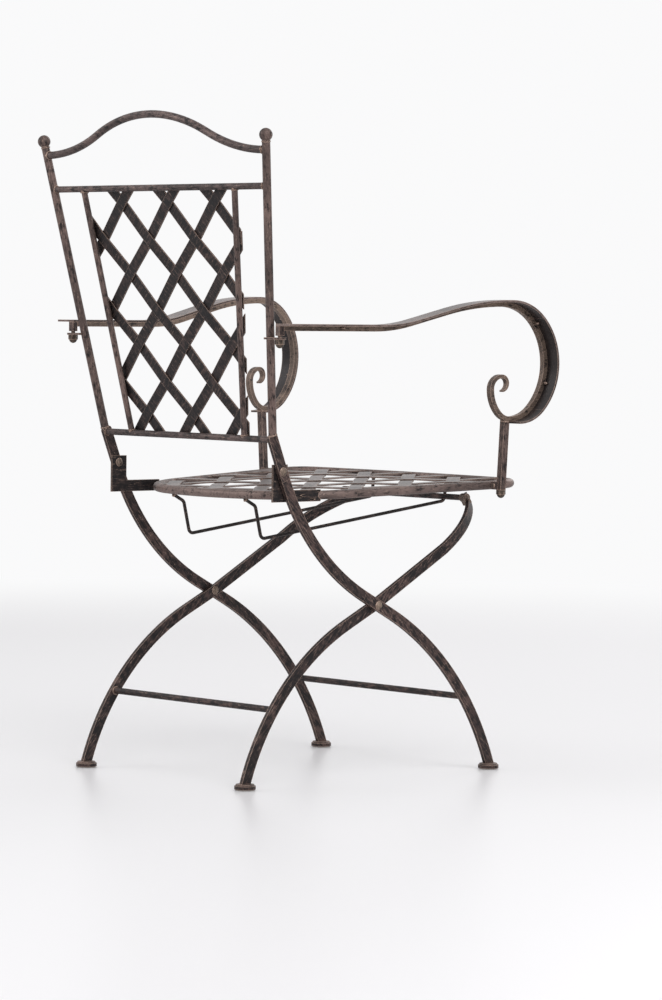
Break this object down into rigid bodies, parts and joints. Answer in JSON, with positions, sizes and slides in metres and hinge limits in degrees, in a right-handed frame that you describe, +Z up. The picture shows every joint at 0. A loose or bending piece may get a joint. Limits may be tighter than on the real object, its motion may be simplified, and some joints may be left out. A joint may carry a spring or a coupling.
{
  "type": "folding iron armchair",
  "caption": "Folding wrought-iron patio armchair with a woven strip seat and back, an arched top rail, ball finials and scrolled arms; its crossed legs fold as the seat lifts.",
  "frame": {"origin": "middle of the box round the open chair, on the floor under the seat", "axes": "+Z up, -Y the way the sitter faces, +X to the sitter's left; the two sides mirror in the plane x = 0"},
  "size_m": [0.617, 0.5466, 0.9696],
  "materials": {
    "dark_iron": "antique bronze paint, brushed, nearly black in the hollows",
    "worn_iron": "antique bronze paint, brushed through to a warm brown",
    "rubbed_heads": "antique bronze paint, rubbed to a pale gold",
    "glide_plastic": "matte grey plastic"
  },
  "bodies": {
    "frame": {"stiles": "dark_iron", "upper_rail": "dark_iron", "lower_rail": "dark_iron", "back_strips_rising": "dark_iron", "back_strips_falling": "dark_iron", "front_leg_left": "dark_iron", "front_leg_right": "dark_iron", "front_stretcher": "dark_iron", "arm_rear_blocks": "dark_iron", "arm_tabs": "dark_iron", "arm_front_lugs": "dark_iron", "ball_finials": "worn_iron", "arch_rail": "worn_iron", "inner_uprights": "worn_iron", "front_feet": "worn_iron", "arm_strip_left": "worn_iron", "arm_strip_right": "worn_iron", "arm_bar_left": "worn_iron", "arm_bar_right": "worn_iron", "arm_post_left": "worn_iron", "arm_post_right": "worn_iron", "crossing_washers": "worn_iron", "seat_washers": "worn_iron", "crossing_rivets": "rubbed_heads", "seat_rivets": "rubbed_heads", "lug_bolts": "rubbed_heads", "rear_cap_nuts": "rubbed_heads", "front_cap_nuts": "rubbed_heads", "front_glides": "glide_plastic"},
    "rear_legs": {"rear_leg_left": "dark_iron", "rear_leg_right": "dark_iron", "rear_stretcher": "dark_iron", "rear_feet": "worn_iron", "rear_glides": "glide_plastic", "rod_end_heads": "rubbed_heads"},
    "seat": {"seat_rim": "worn_iron", "seat_strips_rising": "worn_iron", "seat_strips_falling": "worn_iron", "seat_bracket_left": "dark_iron", "seat_bracket_right": "dark_iron", "guide_wire_left": "dark_iron", "guide_wire_right": "dark_iron"},
    "cross_rod": {"slide_rod": "dark_iron"}
  },
  "joints": [
    {"name": "leg_fold", "type": "hinge", "parent": "frame", "child": "rear_legs", "pos_m": [0, -0.02136, 0.255], "axis": [-1, 0, 0], "range_deg": [0, 76.25]},
    {"name": "seat_fold", "type": "hinge", "parent": "frame", "child": "seat", "pos_m": [0, 0.1673, 0.45395], "axis": [-1, 0, 0], "range_deg": [0, 86.9]},
    {"name": "rod_slide", "type": "slide", "parent": "seat", "child": "cross_rod", "axis": [0, 0.9921, -0.1252], "range_m": [0, 0.35607]}
  ],
  "couplings": [
    {"joint": "seat_fold", "follows": "leg_fold", "ratio": 1.1397},
    {"joint": "rod_slide", "follows": "leg_fold", "m_per_rad": 0.26756}
  ]
}
